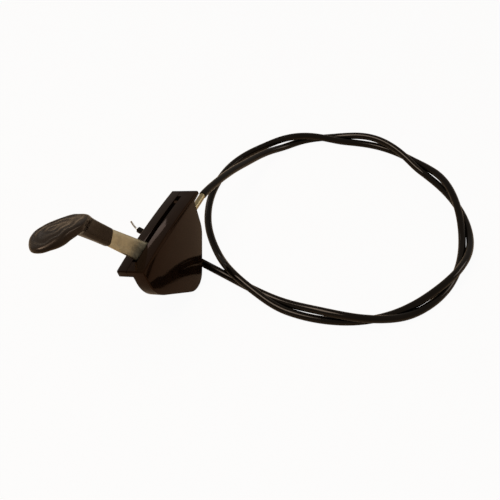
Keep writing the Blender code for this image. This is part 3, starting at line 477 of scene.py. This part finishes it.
# The dish pressed into the paddle's top, and the nested ridges that stand in it
PADDLE_START = Vector((10.65, 0.0, 99.7))
PADDLE_ALONG = Vector((-0.596, 0.0, 0.803))
PADDLE_UP = Vector((0.803, 0.0, 0.596))
DISH_MIDDLE = 31.5
DISH_TO_TIP = 15.6
DISH_TO_ELBOW = 25.0
DISH_HALF = 10.6
DISH_DEPTH = 0.55
DISH_WALL = 0.84
RIDGE_PITCH = 0.4
RIDGE_HEIGHT = 0.34
RIDGES_END = (0.76, 0.86)
WAVE_SIZE = 0.05
WAVE_ALONG = 0.55
WAVE_ACROSS = 0.35
TOP_FACING = (0.6, 0.9)


def eased(value, low, high):
    """0 below low, 1 above high and a smooth rise between."""
    share = min(1.0, max(0.0, (value - low) / (high - low)))
    return share * share * (3.0 - 2.0 * share)


def pressed(place, sideways, facing):
    """Sinks a dish into the paddle's top and raises nested ridges in it. Lever's frame, millimetres."""
    along = (place - PADDLE_START).dot(PADDLE_ALONG)
    reach = DISH_TO_TIP if along > DISH_MIDDLE else DISH_TO_ELBOW
    wave = WAVE_SIZE * math.sin(along * WAVE_ALONG + sideways * WAVE_ACROSS)
    ring = math.hypot((along - DISH_MIDDLE) / reach, sideways / DISH_HALF) + wave
    if ring >= 1.0 or facing < TOP_FACING[0]:
        return place
    on_top = eased(facing, *TOP_FACING)
    dish = 1.0 - eased(ring, DISH_WALL, 1.0)
    ridges = 0.5 + 0.5 * math.cos(math.tau * (DISH_WALL - ring) / RIDGE_PITCH + math.pi)
    ridges *= 1.0 - eased(ring, *RIDGES_END)
    return place + PADDLE_UP * on_top * (RIDGE_HEIGHT * ridges - DISH_DEPTH * dish)


def section_at(share):
    """Outer point, inner point and half width at a share of the knob's sections, read smoothly."""
    spot = share * (len(KNOB_SECTIONS) - 1)
    low = min(int(spot), len(KNOB_SECTIONS) - 2)
    t = spot - low
    picked = [KNOB_SECTIONS[min(max(low + step, 0), len(KNOB_SECTIONS) - 1)] for step in (-1, 0, 1, 2)]
    a, b, c, d = (np.array((*outer, *inner, half)) for outer, inner, half in picked)
    slope = c - a
    bend = 2 * a - 5 * b + 4 * c - d
    twist = 3 * b - a - 3 * c + d
    return 0.5 * (2 * b + slope * t + bend * t * t + twist * t ** 3)


def rounded_oblong(reach, half, corner, count):
    """Evenly spaced points round a rounded oblong, as shares of its reach and of its half width."""
    angles = np.linspace(0.0, math.tau, OUTLINE_STEPS)
    across = np.sign(np.cos(angles)) * np.abs(np.cos(angles)) ** (2.0 / corner)
    sideways = np.sign(np.sin(angles)) * np.abs(np.sin(angles)) ** (2.0 / corner)
    steps = np.hypot(np.diff(across) * reach, np.diff(sideways) * half)
    walked = np.concatenate(([0.0], np.cumsum(steps)))
    wanted = np.linspace(0.0, walked[-1], count, endpoint=False)
    return np.interp(wanted, walked, across), np.interp(wanted, walked, sideways)


def make_knob():
    """Neck sleeve, elbow and paddle: one ring grown section by section, closed at both ends."""
    bm = bmesh.new()
    ring = bmesh.ops.create_circle(bm, cap_ends=False, segments=KNOB_AROUND, radius=1.0)["verts"]
    edges = list(bm.edges)
    for row in range(KNOB_ROWS + 1):
        share = row / KNOB_ROWS
        outer_x, outer_z, inner_x, inner_z, half = section_at(share)
        if row:
            grown = bmesh.ops.extrude_edge_only(bm, edges=edges)["geom"]
            ring = [part for part in grown if isinstance(part, bmesh.types.BMVert)]
            fresh = set(ring)
            edges = [part for part in grown if isinstance(part, bmesh.types.BMEdge)
                     and all(vert in fresh for vert in part.verts)]
        reach_x = (outer_x - inner_x) / 2
        reach_z = (outer_z - inner_z) / 2
        corner = NECK_CORNER + (PADDLE_CORNER - NECK_CORNER) * eased(share, *NECK_TO_PADDLE)
        corner += (TIP_CORNER - PADDLE_CORNER) * eased(share, *PADDLE_TO_TIP)
        across, sideways = rounded_oblong(math.hypot(reach_x, reach_z), half, corner, KNOB_AROUND)
        middle_y = KNOB_MIDDLE + KNOB_LEAN * (half - KNOB_SECTIONS[0][2])
        for vert, c, s in zip(ring, across, sideways):
            place = Vector(((outer_x + inner_x) / 2 + reach_x * c, middle_y + half * s,
                            KNOB_MOUTH + (outer_z + inner_z) / 2 + reach_z * c))
            vert.co = pressed(place, half * s, c)
    bmesh.ops.holes_fill(bm, edges=[edge for edge in bm.edges if len(edge.link_faces) == 1], sides=0)
    bmesh.ops.recalc_face_normals(bm, faces=bm.faces)
    bmesh.ops.transform(bm, matrix=LEVER @ Matrix.Scale(MM, 4), verts=bm.verts)
    soften(bm, MOULDED_EDGE)
    mesh = bpy.data.meshes.new("paddle_knob")
    bm.to_mesh(mesh)
    bm.free()
    knob = link("paddle_knob", mesh, "lever")
    knob.data.materials.append(KNOB_SATIN)
    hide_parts("lever_knob")


make_knob()


# The pieces that keep the shape they have in the CAD
for node, body, round_size, finish, slot in (
    ("housing_right", "housing", 0.00025, HOUSING_GLOSS, "housing_plastic"),
    ("housing_left", "housing", 0.00025, HOUSING_GLOSS, "housing_plastic"),
    ("lever_arm", "lever", 0.0, ZINC_LEVER, "zinc_steel"),
    ("pivot_bush", "lever", 0.0, BRONZE, "bronze"),
    ("knob_rivet", "lever", 0.0, ZINC_SMALL, "zinc_steel"),
    ("pivot_pin", "housing", 0.0, ZINC_SMALL, "zinc_steel"),
    ("pin_washer", "housing", 0.0001, ZINC_SMALL, "zinc_steel"),
    ("pin_clip", "housing", 0.0001, SPRING_STEEL, "spring_steel"),
    ("spring_washer", "housing", 0.0, SPRING_STEEL, "spring_steel"),
    ("friction_washer_right", "housing", 0.0, FIBRE, "fibre"),
    ("friction_washer_left", "housing", 0.0, FIBRE, "fibre"),
    ("conduit_ferrule", "housing", 0.0001, ZINC_FERRULE, "zinc_steel"),
    ("conduit_fork", "housing", 0.0, DARK_STEEL, "zinc_steel"),
    ("housing_screw_1", "housing", 0.0, ZINC_SMALL, "zinc_steel"),
    ("housing_screw_2", "housing", 0.0, ZINC_SMALL, "zinc_steel"),
    ("housing_screw_3", "housing", 0.0, ZINC_SMALL, "zinc_steel"),
    ("core_wire_inner", "wire_inner", 0.0, SPRING_STEEL, "spring_steel"),
):
    piece = dressed(node, body, round_size)
    piece.data.materials.append(finish)


# The studio: pale warm paper that shows white to the camera, a dim room and three soft lamps, each with
# its place, aim, size in metres and power in watts
FLOOR_HALF = 3.0
FLOOR_DROP = 0.0002
PAPER = (0.64, 0.49, 0.35, 1.0)
PAPER_WHITE_SHARE = 0.95
ROOM = (1.0, 0.94, 0.86, 1.0)
ROOM_STRENGTH = 0.3
LAMP_COLOUR = (1.0, 0.98, 0.94)
LAMPS = (
    ("key_softbox", (-0.25, 0.25, 1.0), (0.06, -0.05, 0.0), (0.7, 0.5), 7.6),
    ("side_softbox", (0.66, 0.78, 0.46), (0.06, -0.05, 0.02), (0.16, 0.12), 0.1),
    ("front_softbox", (0.6, -0.8, 0.44), (0.0, -0.01, 0.05), (0.4, 0.3), 1.2),
)


def lay_floor():
    bm = bmesh.new()
    bmesh.ops.create_grid(bm, x_segments=1, y_segments=1, size=FLOOR_HALF)
    mesh = bpy.data.meshes.new("studio_floor")
    bm.to_mesh(mesh)
    bm.free()
    floor = bpy.data.objects.new("studio_floor", mesh)
    floor.location.z = -FLOOR_DROP
    bpy.context.scene.collection.objects.link(floor)
    paper = bpy.data.materials.new("studio_paper")
    paper.use_nodes = True
    tree = paper.node_tree
    shader = tree.nodes["Principled BSDF"]
    shader.inputs["Base Color"].default_value = PAPER
    shader.inputs["Roughness"].default_value = 1.0
    shader.inputs["Specular IOR Level"].default_value = 0.0
    glow = tree.nodes.new("ShaderNodeEmission")
    glow.inputs["Strength"].default_value = 1.0
    ray = tree.nodes.new("ShaderNodeLightPath")
    share = tree.nodes.new("ShaderNodeMath")
    share.operation = "MULTIPLY"
    share.inputs[1].default_value = PAPER_WHITE_SHARE
    tree.links.new(ray.outputs["Is Camera Ray"], share.inputs[0])
    mix = tree.nodes.new("ShaderNodeMixShader")
    tree.links.new(share.outputs[0], mix.inputs[0])
    tree.links.new(shader.outputs[0], mix.inputs[1])
    tree.links.new(glow.outputs[0], mix.inputs[2])
    tree.links.new(mix.outputs[0], tree.nodes["Material Output"].inputs["Surface"])
    floor.data.materials.append(paper)


def light_room():
    world = bpy.data.worlds.new("studio_room")
    bpy.context.scene.world = world
    world.use_nodes = True
    tree = world.node_tree
    back = tree.nodes["Background"]
    back.inputs["Color"].default_value = ROOM
    back.inputs["Strength"].default_value = ROOM_STRENGTH
    seen = tree.nodes.new("ShaderNodeBackground")
    seen.inputs["Color"].default_value = (1.0, 1.0, 1.0, 1.0)
    seen.inputs["Strength"].default_value = 1.0
    ray = tree.nodes.new("ShaderNodeLightPath")
    mix = tree.nodes.new("ShaderNodeMixShader")
    tree.links.new(ray.outputs["Is Camera Ray"], mix.inputs[0])
    tree.links.new(back.outputs[0], mix.inputs[1])
    tree.links.new(seen.outputs[0], mix.inputs[2])
    tree.links.new(mix.outputs[0], tree.nodes["World Output"].inputs["Surface"])


def softbox(name, place, aim, size, power):
    lamp = bpy.data.lights.new(name, "AREA")
    lamp.shape = "RECTANGLE"
    lamp.size, lamp.size_y = size
    lamp.energy = power
    lamp.color = LAMP_COLOUR
    rig = bpy.data.objects.new(name, lamp)
    bpy.context.scene.collection.objects.link(rig)
    rig.location = place
    rig.rotation_euler = (Vector(aim) - Vector(place)).to_track_quat("-Z", "Y").to_euler()


place_camera()
lay_floor()
light_room()
for lamp in LAMPS:
    softbox(*lamp)
bpy.context.scene.view_settings.view_transform = "Standard"
